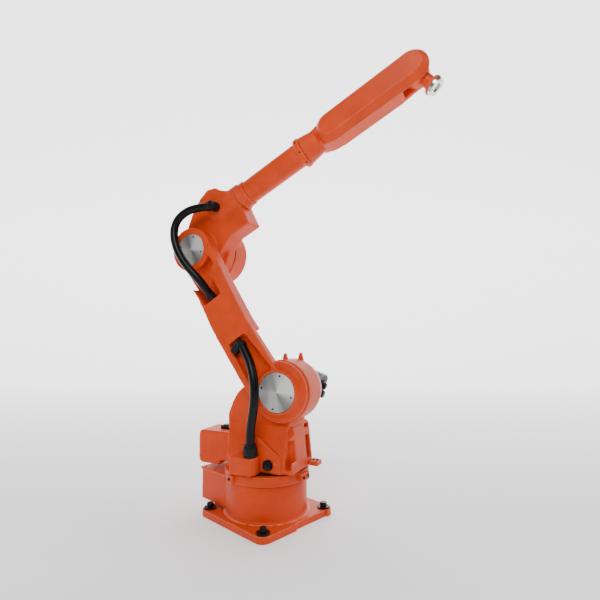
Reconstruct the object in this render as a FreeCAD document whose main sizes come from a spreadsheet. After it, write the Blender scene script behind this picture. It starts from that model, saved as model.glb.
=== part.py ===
import FreeCAD, Part
import math
import os
import Sketcher
from FreeCAD import Placement, Rotation, Vector

# A six-axis industrial robot arm, about 2 m of reach, standing on its bolted base plate.
# Millimetres, +Z up, origin on the floor under the swivel axis, +X is the way the base faces.
# Each moving body has a frame of its own: X forward, Y to the far side, Z up at its zero.

SIZES = {
    # rest pose, in degrees
    "swivel_turn": 19.0,
    "lean_back": 36.6,
    "forearm_pitch": 27.2,
    "wrist_bend": 73.0,
    # places of the joint axes
    "shoulder_forward": 100.0,
    "shoulder_height": 471.0,
    "arm_span": 672.0,
    "forearm_rise": 108.0,
    "wrist_distance": 1035.0,
    "flange_distance": 108.0,
    # running gaps between bodies, and the fit of seated pieces
    "joint_gap": 0.6,
    "seat_gap": 0.3,
    # base
    "plate_side": 360.0,
    "plate_thick": 24.0,
    "plate_corner": 34.0,
    "rebate_start": 22.0,
    "rebate_end": 140.0,
    "rebate_depth": 8.0,
    "anchor_spacing": 300.0,
    "anchor_shank": 16.0,
    "anchor_clearance": 1.0,
    "anchor_head": 26.0,
    "anchor_head_height": 15.0,
    "washer_size": 48.0,
    "washer_thick": 5.0,
    "pedestal_radius": 150.0,
    "pedestal_top": 150.0,
    "pedestal_foot": 12.0,
    "ring_radius": 158.0,
    "ring_height": 34.0,
    "ring_chamfer": 3.0,
    "box_reach": 232.0,
    "box_width": 264.0,
    "box_bottom": 38.0,
    "box_height": 110.0,
    "lid_thick": 9.0,
    "lid_overhang": 4.0,
    "socket_radius": 24.0,
    "socket_length": 20.0,
    "stop_width": 26.0,
    "wide_stop_width": 50.0,
    "stop_depth": 14.0,
    "stop_height": 26.0,
    # column
    "turntable_radius": 140.0,
    "column_bottom": 190.0,
    "column_rear": 112.0,
    "column_front_low": 158.0,
    "column_front_high": 142.0,
    "column_near": 105.0,
    "column_far": 72.0,
    "shelf_height": 352.0,
    "head_radius": 112.0,
    "head_near": 80.0,
    "head_far": 62.0,
    "head_far_radius": 99.0,
    "head_draft": 42.0,
    "slot_width": 24.0,
    "slot_depth": 42.0,
    "slew_cover_end": 285.0,
    "slew_cover_width": 122.0,
    "slew_cover_height": 110.0,
    "slew_cover_round": 30.0,
    "slew_cover_drop": 16.0,
    "junction_near": 172.0,
    "junction_width": 86.0,
    "junction_front": 30.0,
    "junction_top": 248.0,
    "gland_radius": 25.0,
    "gland_height": 44.0,
    "plug_radius": 19.0,
    "plug_height": 8.0,
    "motor_side": 104.0,
    "motor_length": 120.0,
    "motor_flange_side": 134.0,
    "motor_flange_thick": 12.0,
    "motor_cap_side": 92.0,
    "motor_cap_length": 48.0,
    "motor_turn": 20.0,
    "connector_side": 34.0,
    "lug_height": 21.0,
    "lug_thick": 12.0,
    "tab_length": 36.0,
    "tab_width": 40.0,
    "tab_thick": 18.0,
    # lower arm
    "hub_radius": 108.0,
    "hub_step_radius": 93.0,
    "hub_near": 120.0,
    "shoulder_disc_radius": 71.0,
    "elbow_hub_radius": 88.0,
    "elbow_hub_near": 98.0,
    "elbow_disc_radius": 63.0,
    "disc_thick": 8.0,
    "disc_recess": 3.0,
    "arm_far": 50.0,
    "arm_rear_low": 98.0,
    "arm_rear_high": 82.0,
    "arm_front_low": 50.0,
    "arm_front_high": 64.0,
    "arm_relief_span": 245.0,
    "channel_depth": 46.0,
    "lower_channel_depth": 27.5,
    # elbow
    "drum_radius": 120.0,
    "drum_far": 138.0,
    "elbow_near": 42.0,
    "elbow_far": 50.0,
    "nose_front": 255.0,
    "nose_drop": 22.0,
    "elbow_motor_side": 90.0,
    "elbow_motor_length": 70.0,
    "elbow_round": 100.0,
    "roll_motor_side": 76.0,
    "roll_motor_length": 78.0,
    "elbow_gland_radius": 19.0,
    "elbow_gland_reach": 102.0,
    # forearm
    "tube_radius": 47.0,
    "tube_root_radius": 57.0,
    "bearing_length": 72.0,
    "root_flare_radius": 62.0,
    "collar_start": 548.0,
    "collar_length": 26.0,
    "collar_radius": 58.0,
    "neck_end": 640.0,
    "fork_start": 630.0,
    "fork_end": 955.0,
    "fork_half_height": 52.0,
    "fork_far": 51.0,
    "fork_gap_half": 30.0,
    "cover_radius": 58.0,
    "cover_start": 704.0,
    "cover_base": 30.0,
    "cover_near": 62.0,
    "cover_bevel_depth": 29.0,
    "cover_bevel_inset": 21.0,
    "bearing_cap_radius": 30.0,
    "bearing_cap_thick": 8.0,
    # wrist
    "wrist_radius": 50.0,
    "wrist_clearance": 1.0,
    "nose_radius": 24.5,
    "wrist_head_radius": 35.0,
    "wrist_head_thick": 9.0,
    "flange_radius": 31.5,
    "flange_thick": 12.0,
    "flange_pilot_radius": 15.75,
    "flange_pilot_depth": 6.0,
    "flange_bolt_circle": 50.0,
    "flange_thread": 6.0,
    "flange_thread_depth": 10.0,
    # hoses
    "hose_diameter": 32.0,
    "hose_gland_radius": 21.0,
}

doc = FreeCAD.newDocument("robot_arm")
sheet = doc.addObject("Spreadsheet::Sheet", "sizes")
for row, (alias, value) in enumerate(SIZES.items(), start=1):
    sheet.set(f"A{row}", alias.replace("_", " "))
    sheet.set(f"B{row}", str(value))
    sheet.setAlias(f"B{row}", alias)
doc.recompute()

pieces = []


def size(alias):
    return float(getattr(sheet, alias))


def bind(obj, **expressions):
    """Ties each property of an object to an expression in the sheet's aliases."""
    for prop, text in expressions.items():
        obj.setExpression(prop, text)
    return obj


def sheet_names(text):
    """Puts the sheet's name before each alias of an expression written in plain aliases."""
    words = text.replace("(", " ( ").replace(")", " ) ").split()
    return " ".join(f"sizes.{word}" if word in SIZES else word for word in words)


def tie(obj, **texts):
    """bind(), for expressions written in plain aliases, with a dot of a property as two underscores."""
    return bind(obj, **{prop.replace("__", "."): sheet_names(text) for prop, text in texts.items()})


def placed(x="0", y="0", z="0"):
    return {"Placement__Base__x": x, "Placement__Base__y": y, "Placement__Base__z": z}


def block(name, length, width, height, x="0", y="0", z="0"):
    """A box from its corner, all six numbers as expressions."""
    box = doc.addObject("Part::Box", name)
    return tie(box, Length=length, Width=width, Height=height, **placed(x, y, z))


def rod(name, radius, length, x="0", y="0", z="0", along="Z"):
    """A cylinder that starts at a point and runs along +X, +Y or +Z."""
    cylinder = doc.addObject("Part::Cylinder", name)
    turns = {"Z": Rotation(), "X": Rotation(Vector(0, 1, 0), 90), "Y": Rotation(Vector(1, 0, 0), -90)}
    cylinder.Placement = Placement(Vector(0, 0, 0), turns[along])
    return tie(cylinder, Radius=radius, Height=length, **placed(x, y, z))


def taper(name, radius_1, radius_2, length, x="0", y="0", z="0", along="Z"):
    """A cone frustum that starts at a point with its first radius."""
    cone = doc.addObject("Part::Cone", name)
    turns = {"Z": Rotation(), "X": Rotation(Vector(0, 1, 0), 90), "Y": Rotation(Vector(1, 0, 0), -90)}
    cone.Placement = Placement(Vector(0, 0, 0), turns[along])
    return tie(cone, Radius1=radius_1, Radius2=radius_2, Height=length, **placed(x, y, z))


def fuse(name, *parts):
    joined = doc.addObject("Part::MultiFuse", name)
    joined.Shapes = list(parts)
    joined.Refine = True
    return joined


def cut(name, base, *tools):
    tool = tools[0] if len(tools) == 1 else fuse(name + "_tools", *tools)
    result = doc.addObject("Part::Cut", name)
    result.Base = base
    result.Tool = tool
    result.Refine = True
    return result


def slab(name, outline, near, far):
    """A flat piece with its outline in X and Z, from one Y to another; the values are numbers."""
    points = [Vector(x, near, z) for x, z in outline]
    face = Part.Face(Part.makePolygon(points + points[:1]))
    feature = doc.addObject("Part::Feature", name)
    feature.Shape = face.extrude(Vector(0, far - near, 0))
    return feature


def fillet(name, base, radius, picked):
    """Rounds the edges of a piece that a test picks."""
    doc.recompute()
    rounded = doc.addObject("Part::Fillet", name)
    rounded.Base = base
    rounded.Edges = [(i, radius, radius) for i, edge in enumerate(base.Shape.Edges, 1) if picked(edge)]
    return rounded


def new_body(name):
    return doc.addObject("PartDesign::Body", name)


def sketch_on(body, name, plane):
    """A sketch on one of its own body's origin planes."""
    sketch = body.newObject("Sketcher::SketchObject", name)
    origin_plane = next(f for f in body.Origin.OriginFeatures if f.Role == plane)
    sketch.AttachmentSupport = [(origin_plane, "")]
    sketch.MapMode = "FlatFace"
    return sketch


def add_circle(sketch, name, radius, x=0.0, y=0.0):
    """A circle whose radius is a named constraint tied to the sheet."""
    circle = sketch.addGeometry(Part.Circle(Vector(x, y, 0), Vector(0, 0, 1), 10.0), False)
    constraint = sketch.addConstraint(Sketcher.Constraint("Radius", circle, 10.0))
    sketch.renameConstraint(constraint, name)
    sketch.setExpression(f"Constraints.{name}", sheet_names(radius))
    sketch.addConstraint(Sketcher.Constraint("DistanceX", -1, 1, circle, 3, x))
    sketch.addConstraint(Sketcher.Constraint("DistanceY", -1, 1, circle, 3, y))
    return circle


def add_outline(sketch, corners):
    """A closed outline of straight lines."""
    for start, end in zip(corners, corners[1:] + corners[:1]):
        sketch.addGeometry(Part.LineSegment(Vector(*start, 0), Vector(*end, 0)), False)


def pad(body, sketch, name, length, back=False):
    feature = body.newObject("PartDesign::Pad", name)
    feature.Profile = sketch
    feature.setExpression("Length", sheet_names(length))
    feature.Reversed = back
    return feature


def pocket(body, sketch, name, length=None, back=False):
    """A pocket of a depth, or through all."""
    feature = body.newObject("PartDesign::Pocket", name)
    feature.Profile = sketch
    feature.Type = 0 if length else 1
    if length:
        feature.setExpression("Length", sheet_names(length))
    feature.Reversed = back
    return feature


def revolve(body, name, corners):
    """A PartDesign revolution about the body's Z axis, from radii and heights."""
    sketch = sketch_on(body, name + "_profile", "XZ_Plane")
    add_outline(sketch, corners)
    feature = body.newObject("PartDesign::Revolution", name)
    feature.Profile = sketch
    feature.ReferenceAxis = (sketch, ["V_Axis"])
    feature.Angle = 360.0
    return feature


def finish(node, frame, *solids):
    """A sub-part: one or more solids, named as its file is named, in its body's frame."""
    part = doc.addObject("Part::Compound", node)
    part.Links = list(solids)
    part.Label = node
    part.Placement = frame
    pieces.append(part)
    return part


# The frames of the bodies at rest, each from the one before it.
base_frame = Placement()
column_frame = Placement(Vector(0, 0, 0), Rotation(Vector(0, 0, 1), size("swivel_turn")))
shoulder = Vector(size("shoulder_forward"), 0, size("shoulder_height"))
pitch_axis = Vector(0, 1, 0)
arm_frame = column_frame * Placement(shoulder, Rotation(pitch_axis, -size("lean_back")))
elbow_point = Vector(0, 0, size("arm_span"))
elbow_turn = Rotation(pitch_axis, size("lean_back") - size("forearm_pitch"))
elbow_frame = arm_frame * Placement(elbow_point, elbow_turn)
forearm_frame = elbow_frame * Placement(Vector(0, 0, size("forearm_rise")), Rotation())
wrist_point = Vector(size("wrist_distance"), 0, 0)
wrist_frame = forearm_frame * Placement(wrist_point, Rotation(pitch_axis, size("wrist_bend")))


# ---------------------------------------------------------------- base, bolted to the floor


def make_base_plate():
    """A thick square plate with round corners and an anchor hole in each."""
    half, corner = size("plate_side") / 2, size("plate_corner")
    body = new_body("plate_body")
    outline = sketch_on(body, "plate_outline", "XY_Plane")
    inner = half - corner
    for turn in range(4):
        angle = math.radians(90 * turn)
        spin = Rotation(Vector(0, 0, 1), 90 * turn)
        start, end = spin.multVec(Vector(half, -inner, 0)), spin.multVec(Vector(half, inner, 0))
        outline.addGeometry(Part.LineSegment(start, end), False)
        centre = spin.multVec(Vector(inner, inner, 0))
        circle = Part.Circle(centre, Vector(0, 0, 1), corner)
        outline.addGeometry(Part.ArcOfCircle(circle, angle, angle + math.pi / 2), False)
    pad(body, outline, "plate_pad", "plate_thick")
    doc.recompute()
    holes = sketch_on(body, "anchor_holes", "XY_Plane")
    place = size("anchor_spacing") / 2
    for number, (x, y) in enumerate([(-1, -1), (1, -1), (1, 1), (-1, 1)]):
        add_circle(holes, f"hole{number}", "anchor_shank / 2 + anchor_clearance", x * place, y * place)
    pocket(body, holes, "anchor_pocket", back=True)
    notch = block("plate_rebate", "2 * rebate_depth", "rebate_end + rebate_start", "plate_thick + 2",
                  "plate_side / 2 - rebate_depth", "0 - rebate_start", "0 - 1")
    finish("base_plate", base_frame, cut("plate_cut", body, notch))


def make_anchor_bolts():
    """Four hexagon-headed anchor bolts on thick washers."""
    place = size("anchor_spacing") / 2
    bolts = []
    for number, (x, y) in enumerate([(-1, -1), (1, -1), (1, 1), (-1, 1)]):
        at = (str(x * place), str(y * place))
        shank = rod(f"anchor_shank_{number}", "anchor_shank / 2", "plate_thick + washer_thick", *at)
        washer = rod(f"anchor_washer_{number}", "washer_size / 2", "washer_thick", *at, "plate_thick")
        head = doc.addObject("Part::Prism", f"anchor_head_{number}")
        head.Polygon = 6
        tie(head, Circumradius="anchor_head / 2", Height="anchor_head_height",
            **placed(*at, "plate_thick + washer_thick"))
        bolts.append(fuse(f"anchor_bolt_{number}", shank, washer, head))
    finish("anchor_bolts", base_frame, *bolts)


def make_pedestal():
    """The round cast pedestal with a flared foot."""
    low, high = size("plate_thick"), size("pedestal_top")
    radius, foot = size("pedestal_radius"), size("pedestal_foot")
    body = new_body("pedestal_body")
    revolve(body, "pedestal_turn", [(0, low), (radius + foot, low), (radius, low + foot), (radius, high), (0, high)])
    finish("pedestal", base_frame, body)


def make_bearing_ring():
    """The fixed ring of the swivel bearing on the pedestal."""
    low = size("pedestal_top")
    high, radius, edge = low + size("ring_height"), size("ring_radius"), size("ring_chamfer")
    body = new_body("ring_body")
    corners = [(0, low), (radius - edge, low), (radius, low + edge), (radius, high - edge), (radius - edge, high)]
    revolve(body, "ring_turn", corners + [(0, high)])
    finish("bearing_ring", base_frame, body)


def make_connector_box():
    """The cable box behind the pedestal, its lid, and the two sockets in its rear wall."""
    wrap = rod("box_wrap", "pedestal_radius + seat_gap", "box_bottom + box_height + 50")
    hull = block("box_block", "box_reach - 60", "box_width", "box_height", "0 - box_reach", "0 - box_width / 2",
                 "box_bottom")
    finish("connector_box", base_frame, cut("connector_box_hull", hull, wrap))
    wrap_lid = rod("lid_wrap", "ring_radius + 2 * seat_gap", "box_bottom + box_height + 50")
    lid = block("lid_block", "box_reach + lid_overhang - 60", "box_width + 2 * lid_overhang", "lid_thick",
                "0 - box_reach - lid_overhang", "0 - box_width / 2 - lid_overhang", "box_bottom + box_height")
    finish("connector_box_lid", base_frame, cut("connector_box_top", lid, wrap_lid))
    for node, side in (("power_socket", 1), ("signal_socket", -1)):
        socket = rod(node + "_barrel", "socket_radius", "socket_length", "0 - box_reach - socket_length",
                     str(side * size("box_width") / 4), "box_bottom + box_height / 2", along="X")
        bore = rod(node + "_bore", "socket_radius - 6", "socket_length - 6", "0 - box_reach - socket_length",
                   str(side * size("box_width") / 4), "box_bottom + box_height / 2", along="X")
        finish(node, base_frame, cut(node + "_shell", socket, bore))


def make_stops():
    """The fixed stop blocks of the swivel, against the ring's side."""
    for node, angle, width in (("swivel_stop_left", -92.0, "stop_width"),
                               ("swivel_stop_right", 12.0, "wide_stop_width")):
        wrap = rod(node + "_wrap", "ring_radius + seat_gap", "pedestal_top + ring_height + 10")
        lump = block(node + "_lump", "2 * stop_depth", width, "stop_height", "ring_radius - stop_depth",
                     f"0 - {width} / 2", "pedestal_top + 4")
        frame = Placement(Vector(), Rotation(Vector(0, 0, 1), angle))
        finish(node, frame, cut(node + "_block", lump, wrap))


# ---------------------------------------------------------------- column, turning on the base


def make_turntable():
    ring_top = "pedestal_top + ring_height"
    disc = rod("turntable_disc", "turntable_radius", f"column_bottom - {ring_top.replace(' + ', ' - ')} - joint_gap",
               z=f"{ring_top} + joint_gap")
    finish("turntable", column_frame, disc)


def make_column():
    """The cast column: a foot with pockets, a ribbed near wall, and the round head of the shoulder."""
    low, shelf = size("column_bottom"), size("shelf_height")
    rear, front, front_top = -size("column_rear"), size("column_front_low"), size("column_front_high")
    near = -size("column_near")
    axis_x, axis_z, radius = size("shoulder_forward"), size("shoulder_height"), size("head_radius")
    foot = slab("column_foot", [(rear, low), (front, low), (front_top, shelf - 10), (front_top - 14, shelf),
                                (rear, shelf)],
                near, size("column_far"))
    slope_low, slope_high = 238.0, shelf + 12
    corners = [Vector(rear - 20, near - 1, slope_low), Vector(rear - 20, -size("head_near"), slope_high),
               Vector(rear - 20, near - 1, slope_high)]
    slope = doc.addObject("Part::Feature", "column_slope")
    slope.Shape = Part.Face(Part.makePolygon(corners + corners[:1])).extrude(Vector(front - rear + 40, 0, 0))
    foot = cut("column_foot_sloped", foot, slope)
    web = slab("column_web", [(rear - 10, shelf - 30), (front_top - 14, shelf - 8),
                              (axis_x + radius * 0.62, axis_z - 40), (axis_x, axis_z + radius * 0.9),
                              (axis_x - radius * 0.75, axis_z + radius * 0.55), (-66, axis_z + 2),
                              (-84, axis_z - 14), (-105, axis_z - 50), (rear - 10, axis_z - 92)],
               -size("head_near"), size("head_far") - 12)
    head = rod("column_head", "head_radius", "head_near + head_far - head_draft", "shoulder_forward",
               "0 - head_near", "shoulder_height", along="Y")
    draft = taper("column_head_draft", "head_radius", "head_far_radius", "head_draft", "shoulder_forward",
                  "head_far - head_draft", "shoulder_height", along="Y")
    rib = slab("column_rib", [(10, low), (10, 312), (24, 312), (112, 252), (118, 232), (118, low)],
               near - 13, near + 5)
    slots = []
    slot_x = 128.0
    for number, (bottom, top) in enumerate([(low + 16, low + 112), (low + 126, shelf - 6)]):
        slots.append(block(f"near_slot_{number}", "slot_width", "slot_depth", str(top - bottom), str(slot_x),
                           "0 - column_near - 1", str(bottom)))
        slots.append(block(f"front_slot_{number}", "slot_depth", "slot_width + 6", str(top - bottom - 14),
                           "column_front_low - slot_depth", "column_far - 44", str(bottom + 10)))
    casting = cut("column_cast", fuse("column_mass", foot, web, head, draft, rib), *slots)
    finish("column_casting", column_frame, casting)


def make_slew_motor():
    """The cover of the swivel motor behind the column, with its connector."""
    cover = block("slew_cover_block", "slew_cover_end - column_rear - seat_gap", "slew_cover_width",
                  "slew_cover_height", "0 - slew_cover_end", "0 - slew_cover_width / 2", "column_bottom")
    drop = block("slew_cover_sump", "slew_cover_end - ring_radius - slew_cover_drop", "slew_cover_width",
                 "2 * slew_cover_drop", "0 - slew_cover_end", "0 - slew_cover_width / 2",
                 "column_bottom - slew_cover_drop")
    end = -size("slew_cover_end")
    rounded = fillet("slew_cover_round", fuse("slew_cover_mass", cover, drop), size("slew_cover_round"),
                     lambda edge: abs(edge.BoundBox.XMax - end) < 0.1)
    finish("slew_motor_cover", column_frame, rounded)
    plug = block("slew_plug_block", "44", "connector_side", "16", "0 - column_rear - 90", "0 - connector_side / 2",
                 "column_bottom + slew_cover_height + seat_gap")
    finish("slew_motor_connector", column_frame, plug)


def make_junction_box():
    """The cable box low on the near side, with the gland that the lower hose comes out of."""
    low, top = size("column_bottom"), size("junction_top")
    near, wall = -size("junction_near"), -size("column_near") - size("seat_gap")
    front = size("junction_front")
    rear = front - size("junction_width")
    outline = [(rear, near), (front, near), (front + 10, near + 24), (front + 10, wall - 14), (front - 22, wall - 14),
               (front - 22, wall), (rear, wall)]
    points = [Vector(x, y, low) for x, y in outline]
    hull = doc.addObject("Part::Feature", "junction_hull")
    hull.Shape = Part.Face(Part.makePolygon(points + points[:1])).extrude(Vector(0, 0, top - low))
    finish("junction_box", column_frame, hull)
    gland_x, gland_y = hose_start()
    gland = rod("gland_barrel", "gland_radius", "gland_height", str(gland_x), str(gland_y),
                "junction_top + seat_gap")
    finish("lower_hose_gland", column_frame, gland)


def hose_start():
    return size("junction_front") - 17.0, -size("junction_near") + 26.0


def make_column_fittings():
    """The plug in the near wall, the lifting lugs, and the stop tab at the foot."""
    plug = rod("plug_disc", "plug_radius", "plug_height", "junction_front + 40",
               "0 - column_near - 13 - seat_gap - plug_height", "column_bottom + 30", along="Y")
    finish("wall_plug", column_frame, plug)
    top = size("shoulder_height") + size("head_radius")
    half, tip, thick = 13.0, 4.0, size("lug_thick") / 2
    lugs = []
    for number, (x, y) in enumerate([(97.0, -40.0), (125.0, 34.0)]):
        low = top - 14.0
        lugs.append(slab(f"lug_{number}", [(x - half, low), (x + half, low), (x + tip, top + size("lug_height")),
                                           (x - tip, top + size("lug_height"))],
                         y - thick, y + thick))
    crown = rod("lug_wrap", "head_radius + seat_gap", "head_near + head_far - head_draft + seat_gap",
                "shoulder_forward", "0 - head_near", "shoulder_height", along="Y")
    draft = taper("lug_wrap_draft", "head_radius + seat_gap", "head_far_radius + seat_gap", "head_draft",
                  "shoulder_forward", "head_far - head_draft", "shoulder_height", along="Y")
    finish("lifting_lugs", column_frame, cut("lug_pair", fuse("lug_raw", *lugs), crown, draft))
    tab = block("tab_block", "tab_length", "tab_width", "tab_thick", "column_front_low + seat_gap",
                "column_far - tab_width", "column_bottom")
    finish("swivel_stop_tab", column_frame, tab)


def make_shoulder_motor():
    """The black servo motor on the far side of the head, turned on its axis, with flange, cap and connector."""
    turn = column_frame * Placement(shoulder, Rotation(pitch_axis, size("motor_turn")))

    def centred(name, side, length, start):
        return block(name, side, length, side, f"0 - ( {side} ) / 2", start, f"0 - ( {side} ) / 2")

    flange = centred("motor_flange_block", "motor_flange_side", "motor_flange_thick", "head_far + seat_gap")
    finish("shoulder_motor_flange", turn, flange)
    start = "head_far + 2 * seat_gap + motor_flange_thick"
    motor = centred("motor_block", "motor_side", "motor_length", start)
    cap = centred("motor_cap_block", "motor_cap_side", "motor_cap_length", f"{start} + motor_length")
    finish("shoulder_motor", turn, fuse("motor_mass", motor, cap))
    plug = block("motor_plug_block", "22", "connector_side", "2 * connector_side", "motor_side / 2 + seat_gap",
                 f"{start} + motor_length - 44", "0 - connector_side")
    finish("shoulder_motor_connector", turn, plug)


# ---------------------------------------------------------------- lower arm, on the near side


def make_lower_arm():
    """The box-section casting between the shoulder hub and the elbow hub, with its cable channel."""
    span = size("arm_span")
    near, far = -size("hub_near"), -size("arm_far")
    beam = slab("arm_beam", [(-size("arm_rear_low"), 0), (size("arm_front_low"), 0),
                             (size("arm_front_low"), 0.45 * span), (size("arm_front_high"), 0.7 * span),
                             (size("elbow_hub_radius"), span), (-size("elbow_hub_radius"), span),
                             (-size("arm_rear_high"), 0.71 * span), (-96, 0.51 * span)], near, far)
    hub = rod("arm_hub", "hub_radius", "19", y="0 - head_near - joint_gap - 19", along="Y")
    dome = taper("arm_hub_step", "hub_step_radius", "shoulder_disc_radius + 6", "hub_near - head_near - joint_gap - 19",
                 y="0 - head_near - joint_gap - 19", along="Y")
    dome.Placement = Placement(dome.Placement.Base, Rotation(Vector(1, 0, 0), 90))
    top_hub = rod("arm_top_hub", "elbow_hub_radius", "elbow_hub_near - arm_far", y="0 - elbow_hub_near",
                  z="arm_span", along="Y")
    shoulder_relief = rod("arm_relief", "arm_relief_span", "60", y="0 - head_near - joint_gap", along="Y")
    slope = slab("arm_slope_raw", [(-200, 0), (200, 0), (200, span + 200), (-200, span + 200)], near - 80, near)
    lean = math.degrees(math.atan2(size("hub_near") - size("elbow_hub_near"), span - 120))
    slope.Placement = Placement(Vector(0, 0, 110), Rotation(Vector(1, 0, 0), -lean), Vector(0, near, 0))
    depth = size("channel_depth")
    lower = slab("arm_channel", [(-72, 60), (-66, 252), (14, 248), (34, 92), (34, 60)], near - 1,
                 near + size("lower_channel_depth"))
    upper = slab("arm_upper_channel", [(-120, 528), (-120, 700), (52, 640), (52, 556), (16, 530), (16, 436),
                                       (-70, 442), (-78, 528)], near - 1, near + depth + 9)
    seat = rod("shoulder_disc_seat", "shoulder_disc_radius + seat_gap", "disc_thick + disc_recess", y="0 - hub_near",
               along="Y")
    top_seat = rod("elbow_disc_seat", "elbow_disc_radius + seat_gap", "disc_thick + disc_recess",
                   y="0 - elbow_hub_near", z="arm_span", along="Y")
    beam_cut = cut("arm_beam_cut", beam, shoulder_relief, slope, lower, upper, seat, top_seat)
    dome_cut, top_cut = cut("arm_dome_cut", dome, seat), cut("arm_top_cut", top_hub, top_seat)
    finish("lower_arm_casting", arm_frame, fuse("arm_cast", beam_cut, hub, dome_cut, top_cut))


def make_channel_glands():
    """The glands at the ends of the arm's two cable channels, where the hoses go in."""
    for node, route, end, before, way in (("lower_channel_gland", LOWER_ROUTE, -1, -2, 1),
                                          ("upper_channel_gland", UPPER_ROUTE, 0, 1, -1)):
        to_arm = arm_frame.inverse() * column_frame
        point, inner = to_arm.multVec(Vector(*route[end])), to_arm.multVec(Vector(*route[before]))
        heading = (point - inner).normalize()
        length, radius, gap = 15.0, size("hose_gland_radius") - 2.0, size("seat_gap")
        gland = doc.addObject("Part::Feature", node + "_barrel")
        gland.Shape = Part.makeCylinder(radius, length, point + heading * gap, heading)
        finish(node, arm_frame, gland)


def make_discs():
    """The two bare steel discs that close the reducer hubs."""
    for node, radius, near, height in (("shoulder_disc", "shoulder_disc_radius", "hub_near", "0"),
                                       ("elbow_disc", "elbow_disc_radius", "elbow_hub_near", "arm_span")):
        disc = rod(node + "_plate", radius, "disc_thick - seat_gap", y=f"0 - {near} + disc_recess", z=height,
                   along="Y")
        finish(node, arm_frame, disc)


# ---------------------------------------------------------------- elbow, carried by the lower arm


def make_elbow():
    """The elbow casting: round at the elbow axis, humped over the roll drive, with the nose of the forearm."""
    near, far = -size("elbow_near"), size("elbow_far")
    front, drop, axis = size("nose_front"), size("nose_drop"), size("forearm_rise")
    body = slab("elbow_body", [(-40, 70), (-10, -60), (60, -70), (163, -drop), (front, -drop), (front, axis + 20),
                               (200, axis + 64), (184, axis + 88), (146, axis + 102), (100, axis + 88),
                               (34, axis + 48), (-40, 91)],
                near, far)
    boss = rod("elbow_boss", "elbow_round", "elbow_near + elbow_far", y="0 - elbow_near", along="Y")
    shoulder_disc = rod("elbow_rim", "drum_radius - 3", "elbow_far", along="Y")
    nose = rod("elbow_nose", "tube_root_radius", "nose_front - 118", x="118", z="forearm_rise", along="X")
    hub = rod("elbow_hub", "elbow_hub_radius", "arm_far - elbow_near - joint_gap + 10", y="0 - arm_far + joint_gap",
              along="Y")
    finish("elbow_casting", elbow_frame, fuse("elbow_mass", body, boss, shoulder_disc, nose, hub))
    gap = size("seat_gap")
    drum = rod("elbow_drum_rod", "drum_radius", "drum_far - elbow_far - seat_gap", y="elbow_far + seat_gap",
               along="Y")
    rim = fillet("elbow_drum_round", drum, 9.0, lambda edge: edge.BoundBox.YMin > size("elbow_far") + gap + 9)
    finish("elbow_drum", elbow_frame, rim)
    motor = block("elbow_motor_block", "elbow_motor_side", "elbow_motor_length", "elbow_motor_side",
                  "0 - elbow_motor_side / 2", "drum_far + seat_gap", "0 - elbow_motor_side / 2")
    finish("elbow_motor", elbow_frame, motor)


def make_roll_motor():
    """The motor of the forearm's roll, on the far side of the elbow casting above the drum."""
    motor = block("roll_motor_block", "roll_motor_side", "roll_motor_length", "roll_motor_side",
                  "98", "elbow_far + seat_gap", "forearm_rise + 32")
    finish("roll_motor", elbow_frame, motor)


def make_forearm_root():
    """The stepped bearing housing where the forearm tube starts, on the front of the elbow."""
    root = taper("root_cone", "root_flare_radius", "tube_radius + 3", "bearing_length", x="nose_front + seat_gap",
                 z="forearm_rise", along="X")
    finish("roll_bearing_housing", elbow_frame, root)


def make_elbow_gland():
    """The elbow-shaped gland on the near side of the elbow casting that the upper hose goes into."""
    to_elbow = elbow_frame.inverse() * column_frame
    end, before = (to_elbow.multVec(Vector(*UPPER_ROUTE[k])) for k in (-1, -2))
    heading = (end - before).normalize()
    reach = 28.0
    collar = doc.addObject("Part::Feature", "upper_gland_collar")
    collar.Shape = Part.makeCylinder(size("elbow_gland_radius"), reach, end + heading * 2 * size("seat_gap"), heading)
    bend = end + heading * reach
    barrel = rod("upper_gland_barrel", "elbow_gland_radius + 1", "elbow_gland_reach - elbow_near",
                 str(bend.x), "0 - elbow_gland_reach", str(bend.z), along="Y")
    nose = rod("upper_gland_nose", "tube_root_radius + seat_gap", "200", x="60", z="forearm_rise", along="X")
    face = block("upper_gland_face", "200", "60", "200", "60", "0 - elbow_near - seat_gap")
    finish("upper_hose_gland", elbow_frame, cut("upper_gland_cut", fuse("upper_gland", collar, barrel), nose, face))


# ---------------------------------------------------------------- forearm, rolling on the elbow


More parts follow.
